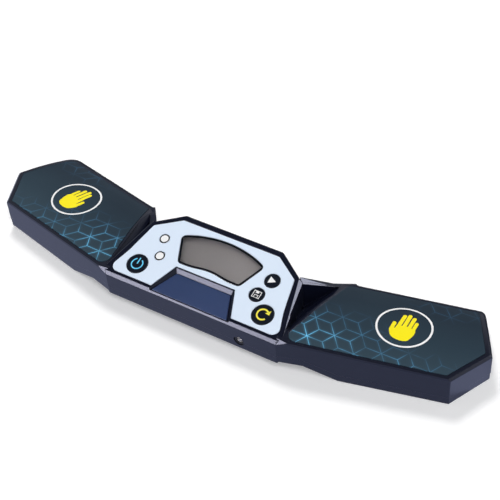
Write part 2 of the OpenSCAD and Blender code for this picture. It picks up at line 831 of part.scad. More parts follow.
button_proud = 0.3;
flange_w = 0.8;
flange_gap = 0.1;
flange_t = 0.6;
plunger_r = 1.5;
plunger_top = 3.75;
plunger_len = 1.5;
switch_size = [6, 6, 2];
switch_lid = 0.6;
plunger_gap = 0.06;

module button(p, r) {
    low = deck + flange_gap + flange_t;
    color([0.05, 0.06, 0.1]) in_body() {
        on_face(p, -low) cylinder(r = r, h = low + button_proud);
        on_face(p, -low) cylinder(r = r + flange_w, h = flange_t);
        on_face(p, -plunger_top) cylinder(r = 1.8, h = plunger_top - deck);
    }
}
module power_button() { button(power_at, big_button_r); }
module reset_button() { button(reset_at, big_button_r); }
module play_button() { button(play_at, small_button_r); }
module save_button() { button(save_at, small_button_r); }

module plunger(p) {
    color([0.85, 0.85, 0.8]) in_body() on_face(p, -plunger_top - plunger_len) cylinder(r = plunger_r, h = plunger_len);
}
module power_plunger() { plunger(power_at); }
module reset_plunger() { plunger(reset_at); }
module play_plunger() { plunger(play_at); }
module save_plunger() { plunger(save_at); }

// Four switches on the board, each a box with the plunger's hole in its lid.
module switch_housings() {
    color([0.15, 0.15, 0.16]) in_body() for (p = concat(big_buttons, small_buttons)) difference() {
        on_face(p - [switch_size.x, switch_size.y] / 2, -board_top) cube(switch_size);
        on_face(p, -board_top + 0.2) cylinder(r = 2.4, h = switch_size.z - switch_lid - 0.2);
        on_face(p, -board_top + 0.2) cylinder(r = plunger_r + plunger_gap, h = switch_size.z);
    }
}

// ---- Data socket -----------------------------------------------------------------------

socket_w = 8.4;
socket_h = 2 * (socket_z - arch_h - floor_t);
socket_recess = 0.7;

module data_socket() {
    color([0.04, 0.04, 0.05]) in_body() difference() {
        union() {
            translate([socket_x, socket_recess, socket_z]) rotate([-90, 0, 0])
                cylinder(r = socket_nose_r, h = wall + 1.2 - socket_recess);
            translate([socket_x - socket_w / 2, wall + slip + 1, socket_z - socket_h / 2])
                cube([socket_w, socket_bore_len - 1, socket_h]);
        }
        translate([socket_x, socket_recess - 1, socket_z]) rotate([-90, 0, 0])
            cylinder(r = socket_bore_r, h = socket_bore_len + 1);
    }
}

// ---- Cells and contacts ----------------------------------------------------------------

// Cell with its button towards +x. dir turns it round.
module cell(y, dir) {
    button_len = 0.9;
    in_body() translate([dir * (contact_x - 0.05), y, cell_z]) rotate([0, -90 * dir, 0]) {
        color([0.8, 0.65, 0.2]) translate([0, 0, button_len]) cylinder(r = cell_r, h = cell_len - button_len);
        color([0.8, 0.8, 0.8]) cylinder(r = 1.9, h = button_len + 0.5);
    }
}
module front_cell() { cell(front_cell_y, 1); }
module back_cell() { cell(back_cell_y, -1); }

contact_w = 8;
contact_low = cell_z - 4;
contact_top = bay_wall_top - 0.6;
module contact(x, y0, y1) {
    color([0.75, 0.76, 0.78]) in_body() translate([x, y0, contact_low])
        cube([contact_t, y1 - y0, contact_top - contact_low]);
}
module cell_bridge() {
    contact(-contact_x - contact_t, front_cell_y - contact_w / 2, back_cell_y + contact_w / 2);
}
module positive_contact() { contact(contact_x, front_cell_y - contact_w / 2, front_cell_y + contact_w / 2); }
module negative_contact() { contact(contact_x, back_cell_y - contact_w / 2, back_cell_y + contact_w / 2); }

// Conical spring between a contact and the flat end of a cell, as its outer form.
module cell_spring(y, dir) {
    len = 2 * contact_x - cell_len - 0.15;
    color([0.8, 0.81, 0.83]) in_body() translate([-dir * (contact_x - 0.02), y, cell_z]) rotate([0, 90 * dir, 0])
        rotate_extrude() polygon([[2.2, 0], [3.4, 0], [2.2, len], [1.2, len]]);
}
module front_cell_spring() { cell_spring(front_cell_y, 1); }
module back_cell_spring() { cell_spring(back_cell_y, -1); }

// ---- Sensor leads -------------------------------------------------------------------------

// Insulated wire from the foil, in front of the pocket, to the edge of the board.
lead_r = 0.6;
foil_end = from_wing([32, 17]);
foil_z = wing_h - roof - foil_t - 32 * tan(tip_fall) - 17 * tan(back_fall) - 1;
lead_points = [
    [foil_end.x, foil_end.y, foil_z],
    [foil_end.x - 6, foil_end.y - 4, foil_z - 2],
    [kink.x + 4, 10.6, 13],
    [kink.x - 6, 10.2, 10.6],
    [kink.x - 10.4, 10.6, 11.4]];
module sensor_lead(side) {
    color([0.7, 0.1, 0.1]) in_body() mirror([side < 0 ? 1 : 0, 0, 0])
        for (i = [0 : len(lead_points) - 2]) hull() for (end = [0, 1])
            translate(lead_points[i + end]) sphere(r = lead_r, $fn = 8);
}
module left_sensor_lead() { sensor_lead(-1); }
module right_sensor_lead() { sensor_lead(1); }

// ---- Fasteners and feet --------------------------------------------------------------------

// Cross recess in a screw's head, cut up from z = 0.
module cross_slot(size, depth) {
    for (turn = [0, 90]) rotate(turn) translate([-size / 2, -0.25, -1]) cube([size, 0.5, depth + 1]);
}

module board_screws() {
    color([0.7, 0.7, 0.72]) in_body() for (p = board_screw_at)
        on_face(p, -board_top - board_t - board_head_h) difference() {
            union() {
                cylinder(r = board_head_r, h = board_head_h);
                cylinder(r = board_shank_r, h = board_screw_len);
            }
            cross_slot(2.2, 0.6);
        }
}

module case_screws() {
    color([0.3, 0.3, 0.32]) in_body() at_case_screws() translate([0, 0, $low + case_head_sunk]) difference() {
        union() {
            cylinder(r = case_head_r, h = case_head_h - seat);
            cylinder(r = case_shank_r, h = case_screw_len);
        }
        cross_slot(2.8, 0.8);
    }
}

module rubber_feet() {
    color([0.1, 0.1, 0.1]) in_body() for (side = [-1, 1]) for (p = foot_at) on_wing(side)
        translate([p.x, p.y, -foot_proud]) cylinder(r = foot_r, h = foot_t - seat);
}

top_shell();
bottom_shell();
face_plate();
accent_panel();
left_touch_pad();
right_touch_pad();
left_sensor_foil();
right_sensor_foil();
left_sensor_lead();
right_sensor_lead();
display_lens();
display_glass();
display_frame();
display_connector();
main_board();
controller_chip();
buzzer();
switch_housings();
indicator_leds();
ready_light_window();
start_light_window();
power_button();
play_button();
save_button();
reset_button();
power_plunger();
play_plunger();
save_plunger();
reset_plunger();
data_socket();
front_cell();
back_cell();
cell_bridge();
positive_contact();
negative_contact();
front_cell_spring();
back_cell_spring();
battery_cover();
board_screws();
case_screws();
rubber_feet();
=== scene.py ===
"""The looks of a speed cube timer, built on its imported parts. Lengths are in metres, but
the flat outlines of the prints are in millimetres."""

import bmesh
import bpy
import numpy as np
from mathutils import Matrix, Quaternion, Vector
from mathutils.geometry import delaunay_2d_cdt


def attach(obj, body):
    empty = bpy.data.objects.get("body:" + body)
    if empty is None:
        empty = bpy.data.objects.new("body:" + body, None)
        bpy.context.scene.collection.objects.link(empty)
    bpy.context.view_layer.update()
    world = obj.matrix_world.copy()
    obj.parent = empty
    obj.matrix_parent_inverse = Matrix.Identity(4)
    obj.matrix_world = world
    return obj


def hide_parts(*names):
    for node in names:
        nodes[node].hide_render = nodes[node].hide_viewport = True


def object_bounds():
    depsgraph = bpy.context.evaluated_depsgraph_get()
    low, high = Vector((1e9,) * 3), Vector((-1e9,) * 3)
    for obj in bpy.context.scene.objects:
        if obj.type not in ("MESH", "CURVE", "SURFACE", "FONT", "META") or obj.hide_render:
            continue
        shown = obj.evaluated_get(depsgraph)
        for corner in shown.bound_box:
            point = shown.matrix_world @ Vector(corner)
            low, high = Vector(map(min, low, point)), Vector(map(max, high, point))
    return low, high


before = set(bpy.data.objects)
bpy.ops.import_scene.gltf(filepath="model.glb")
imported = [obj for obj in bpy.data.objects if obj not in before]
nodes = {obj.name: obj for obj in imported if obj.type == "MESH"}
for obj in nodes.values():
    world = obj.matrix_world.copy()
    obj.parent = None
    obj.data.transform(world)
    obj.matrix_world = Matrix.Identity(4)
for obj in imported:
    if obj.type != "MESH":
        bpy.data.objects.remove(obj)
cad_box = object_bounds()
mm = 0.001

# ---- Camera --------------------------------------------------------------------------
# The photograph was taken from the front right and above, a little tilted, with a
# long lens that is centred on the picture.
camera_at = Vector((0.2584, -0.3521, 0.4504))
camera_aim = Vector((0.0013, 0.0179, 0.0100))
camera_roll = np.radians(-4.886)
focal_px = 1221.3
picture_px = 500

lens = bpy.data.cameras.new("camera")
lens.sensor_width = 36
lens.lens = focal_px / picture_px * lens.sensor_width
lens.clip_start, lens.clip_end = 0.01, 20
camera = bpy.data.objects.new("camera", lens)
camera.location = camera_at
camera.rotation_mode = "QUATERNION"
sight = (camera_aim - camera_at).to_track_quat("-Z", "Y")
camera.rotation_quaternion = sight @ Quaternion((0, 0, 1), camera_roll)
bpy.context.scene.collection.objects.link(camera)
bpy.context.scene.camera = camera
bpy.context.scene.view_settings.view_transform = "Standard"

# ---- Floor and light -----------------------------------------------------------------
# A white table in a room that is bright low down and dark above, so that the walls
# shine a little and the tops stay dark. A soft box behind throws the shadow to the
# front, and three low strips catch the chamfers and the slopes.


def new_material(name):
    """New material with its tree, its shader, and functions that add a node or a sum."""
    material = bpy.data.materials.new(name)
    material.use_nodes = True
    tree = material.node_tree
    return (material, tree, tree.nodes["Principled BSDF"], *adders(tree))


def adders(tree):
    """add() makes a shader node and sets or links its inputs by name. math() makes a
    Math node and gives back its result."""

    def feed(socket, value):
        if isinstance(value, bpy.types.NodeSocket):
            tree.links.new(value, socket)
        else:
            socket.default_value = value

    def add(kind, **inputs):
        node = tree.nodes.new("ShaderNode" + kind)
        for key, value in inputs.items():
            feed(node.inputs[key.replace("_", " ")], value)
        return node

    def math(operation, *values):
        node = tree.nodes.new("ShaderNodeMath")
        node.operation = operation
        for socket, value in zip(node.inputs, values):
            feed(socket, value)
        return node.outputs[0]

    return add, math


floor_half = 3.0
floor_grid = np.array([(-1, -1, 0), (1, -1, 0), (1, 1, 0), (-1, 1, 0)]) * floor_half
floor_mesh = bpy.data.meshes.new("floor")
floor_mesh.from_pydata(floor_grid.tolist(), [], [(0, 1, 2, 3)])
floor = bpy.data.objects.new("floor", floor_mesh)
bpy.context.scene.collection.objects.link(floor)

# What a glossy surface sees of the floor fades out behind the swept body. Its wings run
# back by sweep_slope and end a little past tip_x.
sweep_slope = 0.238
tip_x = 0.136
floor_paint, tree, shader, add, math = new_material("floor_paint")
tree.nodes.remove(shader)
rays = add("LightPath").outputs
place = add("SeparateXYZ", Vector=add("TexCoord").outputs["Object"]).outputs
swept_y = math("SUBTRACT", place["Y"], math("MULTIPLY", math("ABSOLUTE", place["X"]), sweep_slope))
behind = add("MapRange", Value=swept_y, From_Min=-0.030, From_Max=0.004, To_Min=1.0, To_Max=0.10)
# The shadowed floor before the right wing looks darker in it, and the lit floor past
# that wing's tip brighter.
dim = add("MapRange", Value=place["X"], From_Min=0.0, From_Max=0.06, To_Min=0.86, To_Max=0.70)
past_tip = math("MULTIPLY", math("GREATER_THAN", place["X"], tip_x), 0.55)
seen_in_gloss = math("MULTIPLY", behind.outputs[0], math("ADD", dim.outputs[0], past_tip))
seen_plainly = math("MAXIMUM", rays["Is Camera Ray"], rays["Is Transmission Ray"])
camera_glow = math("MULTIPLY", seen_plainly, 0.26)
paint = add("BsdfDiffuse", Color=(0.84, 0.84, 0.845, 1))
glow = add("Emission", Color=(1, 1, 1, 1), Strength=camera_glow)
both = add("AddShader")
tree.links.new(paint.outputs[0], both.inputs[0])
tree.links.new(glow.outputs[0], both.inputs[1])
floor_in_gloss = add("Emission", Color=(0.62, 0.68, 1.0, 1), Strength=seen_in_gloss)
choice = add("MixShader", Fac=rays["Is Glossy Ray"])
tree.links.new(both.outputs[0], choice.inputs[1])
tree.links.new(floor_in_gloss.outputs[0], choice.inputs[2])
tree.links.new(choice.outputs[0], tree.nodes["Material Output"].inputs["Surface"])
floor_mesh.materials.append(floor_paint)

# Name, direction, distance, width, depth, power, tint, and whether only gloss shows it.
soft_boxes = [
    ("key", (-0.42, 0.47, 1.10), 1.6, 0.42, 0.42, 13.5, (1.0, 0.99, 0.97), False),
    ("fill", (0.35, -0.35, 0.87), 1.6, 0.9, 0.9, 11.0, (1.0, 1.0, 1.0), False),
    ("front_strip", (-0.435, -0.832, 0.344), 1.3, 0.55, 0.26, 8.5, (0.93, 0.89, 1.0), True),
    ("low_strip", (-0.435, -0.895, 0.085), 1.3, 0.60, 0.18, 8.0, (0.93, 0.89, 1.0), True),
    ("back_strip", (0.71, 0.54, 0.42), 1.3, 0.40, 0.45, 9.0, (0.92, 0.91, 1.0), True),
]
for name, way, distance, width, depth, power, tint, shiny in soft_boxes:
    light = bpy.data.lights.new(name, "AREA")
    light.shape = "RECTANGLE"
    light.size, light.size_y = width, depth
    light.energy = power
    light.color = tint
    lamp = bpy.data.objects.new(name, light)
    lamp.location = Vector(way).normalized() * distance
    lamp.rotation_mode = "QUATERNION"
    lamp.rotation_quaternion = (-Vector(way)).to_track_quat("-Z", "Y")
    lamp.visible_glossy = shiny
    lamp.visible_diffuse = not shiny
    bpy.context.scene.collection.objects.link(lamp)

room = bpy.data.worlds.new("room")
room.use_nodes = True
add, math = adders(room.node_tree)
height = add("SeparateXYZ", Vector=add("TexCoord").outputs["Generated"]).outputs["Z"]
sky = add("MapRange", Value=height, From_Min=0.50, From_Max=0.68, To_Min=0.62, To_Max=0.05)
seen = add("LightPath").outputs["Is Camera Ray"]
background = room.node_tree.nodes["Background"]
background.inputs["Color"].default_value = (0.93, 0.95, 1.0, 1)
room.node_tree.links.new(math("MAXIMUM", sky.outputs[0], seen), background.inputs["Strength"])
bpy.context.scene.world = room

# ---- Shells --------------------------------------------------------------------------
# Two mouldings of near-black ABS meet at the parting line. The mould's fine spark grain
# makes them satin, and every outer edge has the small round of a moulding.


def moulded_plastic(name, colour, roughness, grain=0.25 * mm, relief=0.08, tint=(1, 1, 1),
                    unevenness=0.15, shine=0.5):
    """Moulded plastic. Noise as fine as the grain moves the normal and the roughness,
    and a slow noise makes the colour a little uneven."""
    material, tree, shader, add, math = new_material(name)
    where = add("TexCoord").outputs["Object"]
    fine = add("TexNoise", Vector=where, Scale=1 / grain, Detail=3.0)
    slow = add("TexNoise", Vector=where, Scale=30.0, Detail=2.0)
    shade = add("MapRange", Value=slow.outputs["Fac"], To_Min=1 - unevenness, To_Max=1 + unevenness)
    paint = add("VectorMath")
    paint.operation = "SCALE"
    paint.inputs[0].default_value = colour
    tree.links.new(shade.outputs[0], paint.inputs["Scale"])
    tree.links.new(paint.outputs[0], shader.inputs["Base Color"])
    gloss = add("MapRange", Value=fine.outputs["Fac"], To_Min=roughness - 0.05, To_Max=roughness + 0.05)
    tree.links.new(gloss.outputs[0], shader.inputs["Roughness"])
    bump = add("Bump", Height=fine.outputs["Fac"], Strength=relief, Distance=grain * 0.3)
    tree.links.new(bump.outputs[0], shader.inputs["Normal"])
    shader.inputs["Specular Tint"].default_value = (*tint, 1)
    shader.inputs["Specular IOR Level"].default_value = shine
    return material


def finish(node, material):
    """Gives a CAD node its material."""
    nodes[node].data.materials.clear()
    nodes[node].data.materials.append(material)


def softened(node, body, edge_round, material, steep=28, clamped=True):
    """Copy of a CAD node for the eye: loose corners merged, flat faces joined, and every
    edge rounded that turns by more than steep, in degrees. Unclamped, the round keeps its
    full width beside short edges too."""
    form = bmesh.new()
    form.from_mesh(nodes[node].data)
    bmesh.ops.remove_doubles(form, verts=form.verts, dist=1e-6)
    bmesh.ops.dissolve_limit(form, angle_limit=np.radians(0.4), verts=form.verts, edges=form.edges)
    mesh = bpy.data.meshes.new(node + "_form")
    form.to_mesh(mesh)
    form.free()
    mesh.shade_smooth()
    mesh.set_sharp_from_angle(angle=np.radians(steep))
    mesh.materials.clear()
    mesh.materials.append(material)
    piece = bpy.data.objects.new(node + "_form", mesh)
    bpy.context.scene.collection.objects.link(piece)
    bevel = piece.modifiers.new("edge_round", "BEVEL")
    bevel.width = edge_round
    bevel.segments = 2
    bevel.limit_method = "ANGLE"
    bevel.angle_limit = np.radians(steep)
    bevel.harden_normals = True
    bevel.use_clamp_overlap = clamped
    even = piece.modifiers.new("flat_faces", "WEIGHTED_NORMAL")
    even.keep_sharp = True
    even.weight = 100
    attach(piece, body)
    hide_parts(node)
    return piece


shell_plastic = moulded_plastic("shell_plastic", (0.0045, 0.0058, 0.0150), 0.30, tint=(0.84, 0.88, 1.0))
softened("top_shell", "case", 0.20 * mm, shell_plastic, steep=14, clamped=False)
softened("bottom_shell", "case", 0.15 * mm, shell_plastic)

# ---- Battery cover, feet and screws --------------------------------------------------
# The cover is moulded from the shells' plastic. The feet are pressed rubber discs with
# a glued back, and the screws are black zinc plated steel with a cross recess.
softened("battery_cover", "battery_cover", 0.15 * mm, shell_plastic)
foot_rubber = moulded_plastic("foot_rubber", (0.014, 0.014, 0.015), 0.78, grain=0.15 * mm, relief=0.25)
softened("rubber_feet", "case", 0.2 * mm, foot_rubber)


def metal(name, colour, roughness, brushed=0.0):
    """Metal. Noise drawn out along X gives the brushed or drawn surface."""
    material, tree, shader, add, math = new_material(name)
    stretch = add("Mapping", Vector=add("TexCoord").outputs["Object"], Scale=(1 - brushed, 1, 1))
    grain = add("TexNoise", Vector=stretch.outputs[0], Scale=4000.0, Detail=3.0)
    slow = add("TexNoise", Vector=stretch.outputs[0], Scale=150.0, Detail=2.0)
    gloss = add("MapRange", Value=grain.outputs["Fac"], To_Min=roughness - 0.08, To_Max=roughness + 0.10)
    dull = [0.82 * c for c in colour]
    tone = add("MixRGB", Fac=slow.outputs["Fac"], Color1=(*dull, 1), Color2=(*colour, 1))
    tree.links.new(gloss.outputs[0], shader.inputs["Roughness"])
    tree.links.new(tone.outputs[0], shader.inputs["Base Color"])
    shader.inputs["Metallic"].default_value = 1.0
    return material


finish("case_screws", metal("black_zinc", (0.10, 0.10, 0.11), 0.35))
finish("board_screws", metal("bright_zinc", (0.62, 0.63, 0.65), 0.30))

# ---- Circuit board and the parts on it -----------------------------------------------
# Green solder mask over copper tracks, a chip in black epoxy, a beeper, four switches
# with white plungers, two lights, and the striped rubber that feeds the display.
mask_green, tree, shader, add, math = new_material("solder_mask")
where = add("TexCoord").outputs["Object"]
tracks = add("TexBrick", Vector=where, Scale=260.0, Mortar_Size=0.06, Mortar=(0.03, 0.20, 0.08, 1),
             Color1=(0.010, 0.085, 0.035, 1), Color2=(0.012, 0.10, 0.04, 1))
tree.links.new(tracks.outputs["Color"], shader.inputs["Base Color"])
step = add("Bump", Height=tracks.outputs["Fac"], Strength=0.3, Distance=0.04 * mm)
tree.links.new(step.outputs[0], shader.inputs["Normal"])
shader.inputs["Roughness"].default_value = 0.32
finish("main_board", mask_green)
black_epoxy = moulded_plastic("black_epoxy", (0.012, 0.012, 0.013), 0.55, relief=0.2)
softened("controller_chip", "case", 0.12 * mm, black_epoxy)
softened("buzzer", "case", 0.2 * mm, moulded_plastic("buzzer_case", (0.016, 0.016, 0.017), 0.4))
finish("switch_housings", moulded_plastic("switch_case", (0.02, 0.02, 0.022), 0.45))
plunger_plastic = moulded_plastic("plunger_plastic", (0.78, 0.76, 0.70), 0.4)
for name in ("power", "play", "save", "reset"):
    finish(name + "_plunger", plunger_plastic)
finish("indicator_leds", moulded_plastic("light_epoxy", (0.85, 0.85, 0.80), 0.15, relief=0.02))
finish("display_frame", moulded_plastic("frame_plastic", (0.80, 0.80, 0.78), 0.45))

zebra, tree, shader, add, math = new_material("zebra_rubber")
stripes = add("TexWave", Vector=add("TexCoord").outputs["Object"], Scale=1500.0)
bands = add("MixRGB", Fac=stripes.outputs["Fac"], Color1=(0.72, 0.38, 0.42, 1),
            Color2=(0.03, 0.03, 0.03, 1))
tree.links.new(bands.outputs[0], shader.inputs["Base Color"])
shader.inputs["Roughness"].default_value = 0.6
finish("display_connector", zebra)

# ---- Sensor foils and leads ----------------------------------------------------------
# Copper foil is glued under each wing's roof and senses the hand on the pad. A wire in
# a red sleeve is soldered to it and runs to the board.
copper = metal("copper_foil", (0.78, 0.36, 0.22), 0.32, brushed=0.8)
red_sleeve = moulded_plastic("red_sleeve", (0.45, 0.012, 0.010), 0.38)
for side_name in ("left", "right"):
    finish(side_name + "_sensor_foil", copper)
    finish(side_name + "_sensor_lead", red_sleeve)

# ---- Cells, contacts and springs -----------------------------------------------------
# Two AAA cells in a plain printed sleeve, nickel plated contact plates, and a spring of
# steel wire wound on a cone at each flat end.
sleeve_half, blue_half = 20.5 * mm, 12.5 * mm
cell_sleeve, tree, shader, add, math = new_material("cell_sleeve")
where = add("TexCoord").outputs["Object"]
from_middle = math("ABSOLUTE", add("SeparateXYZ", Vector=where).outputs["X"])
bare = math("GREATER_THAN", from_middle, sleeve_half)
tone = add("MixRGB", Fac=math("GREATER_THAN", from_middle, blue_half),
           Color1=(0.02, 0.03, 0.07, 1), Color2=(0.42, 0.22, 0.05, 1))
skin = add("MixRGB", Fac=bare, Color1=tone.outputs[0], Color2=(0.60, 0.60, 0.61, 1))
tree.links.new(skin.outputs[0], shader.inputs["Base Color"])
tree.links.new(bare, shader.inputs["Metallic"])
worn = add("TexNoise", Vector=where, Scale=900.0)
gloss = add("MapRange", Value=worn.outputs["Fac"], To_Min=0.22, To_Max=0.36)
tree.links.new(gloss.outputs[0], shader.inputs["Roughness"])
nickel = metal("nickel_plate", (0.70, 0.69, 0.66), 0.26)
for name in ("front_cell", "back_cell"):
    finish(name, cell_sleeve)
for name in ("cell_bridge", "positive_contact", "negative_contact"):
    finish(name, nickel)


def tube(name, rings, looped, material):
    """Tube through a grid of points whose rows are its rings. Each ring is joined to the
    next, and the last to the first where the tube is looped. An open tube has a face on
    each end."""
    rows, cols = rings.shape[:2]
    i, j = np.meshgrid(np.arange(rows if looped else rows - 1), np.arange(cols), indexing="ij")
    n, k = (i + 1) % rows, (j + 1) % cols
    quads = np.stack([i * cols + j, i * cols + k, n * cols + k, n * cols + j], -1).reshape(-1, 4)
    ends = [] if looped else [list(range(cols)), list(range((rows - 1) * cols, rows * cols))]
    mesh = bpy.data.meshes.new(name)
    mesh.from_pydata(rings.reshape(-1, 3).tolist(), [], quads.tolist() + ends)
    form = bmesh.new()
    form.from_mesh(mesh)
    bmesh.ops.recalc_face_normals(form, faces=form.faces)
    form.to_mesh(mesh)
    form.free()
    mesh.shade_smooth()
    mesh.materials.append(material)
    piece = bpy.data.objects.new(name, mesh)
    bpy.context.scene.collection.objects.link(piece)
    return piece


cell_rows = {"front_cell_spring": (-10.33 * mm, 1), "back_cell_spring": (0.37 * mm, -1)}
cell_z = 11.6 * mm
spring_foot = 24.6 * mm
spring_len = 4.55 * mm
spring_foot_r, spring_tip_r = 3.1 * mm, 1.9 * mm
wire_r = 0.25 * mm
turns = 4.5
for name, (row_y, way) in cell_rows.items():
    # A wire of round section carried along a helix whose radius falls from the foot's to
    # the tip's while it climbs from the contact to the cell.
    t = np.linspace(0, 1, 145)[:, None]
    a = np.linspace(0, 2 * np.pi, 10, endpoint=False)[None, :]
    spin = 2 * np.pi * turns * t
    helix_r = spring_foot_r + (spring_tip_r - spring_foot_r) * t + wire_r * np.cos(a)
    climb = wire_r + (spring_len - 2 * wire_r) * t + wire_r * np.sin(a)
    coil_y, coil_z = row_y + helix_r * np.cos(spin), cell_z + helix_r * np.sin(spin)
    coil = np.stack([way * (climb - spring_foot), coil_y, coil_z], -1)
    spring = tube(name + "_coil", coil, False, nickel)
    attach(spring, "case")
    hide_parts(name)

# ---- Data socket ---------------------------------------------------------------------
# A 3.5 mm socket in black nylon, sunk a little in the front wall, with a nickel
# plated sleeve in its bore.
socket_nylon = moulded_plastic("socket_nylon", (0.008, 0.008, 0.009), 0.42)
softened("data_socket", "case", 0.12 * mm, socket_nylon)

body_half = -cad_box[0][1]
foot_proud = 0.5 * mm
socket_at = (28.5 * mm, 9.0 * mm)
around = np.linspace(0, 2 * np.pi, 49)[:-1]
# Radius and depth along the sleeve's section, from the outer lip in over the mouth.
sleeve = np.array([(1.80, 11.0), (1.80, 1.25), (1.76, 1.10), (1.62, 1.05), (1.55, 1.15), (1.55, 11.0)]) * mm
# The section is turned about the socket's axis.
ring_x = socket_at[0] + sleeve[:, None, 0] * np.cos(around)
ring_z = socket_at[1] + sleeve[:, None, 0] * np.sin(around)
ring_y = np.broadcast_to(sleeve[:, None, 1] - body_half, ring_x.shape)
socket_sleeve = tube("socket_sleeve", np.stack([ring_x, ring_y, ring_z], -1), True, nickel)
socket_sleeve.data.set_sharp_from_angle(angle=np.radians(35))
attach(socket_sleeve, "case")

# ---- Touch pads ----------------------------------------------------------------------
# Printed polyester film laid in each wing. A lattice of thin blue lines glows at the
# inner front corner and fades outwards over the slate ground. A white ring and a
# yellow hand are screen printed on top.
kink_x = 49.4 * mm
wing_sweep = np.radians(13.4)
wing_h = 20.1 * mm
tip_fall, back_fall = np.radians(1.7), np.radians(2.6)
crown_start, crown_r = 20 * mm, 130 * mm
pad_proud = 0.1 * mm


def on_pad(side, u, v, lift):
    """Point of the pad at u along the wing and v across it, raised by lift. The pad is a
    sloping plane up to crown_start and an arc of crown_r behind it."""
    centre_v = crown_start - crown_r * np.sin(back_fall)
    centre_z = -crown_start * np.tan(back_fall) - crown_r * np.cos(back_fall)
    arc = centre_z + np.sqrt(crown_r ** 2 - (np.maximum(v, crown_start) - centre_v) ** 2)
    fall = np.where(v < crown_start, -v * np.tan(back_fall), arc)
    x = kink_x + u * np.cos(wing_sweep) - v * np.sin(wing_sweep)
    y = u * np.sin(wing_sweep) + v * np.cos(wing_sweep) - body_half
    z = foot_proud + wing_h + pad_proud + fall / np.cos(tip_fall) - u * np.tan(tip_fall) + lift
    return np.stack([side * x, y, z], -1)


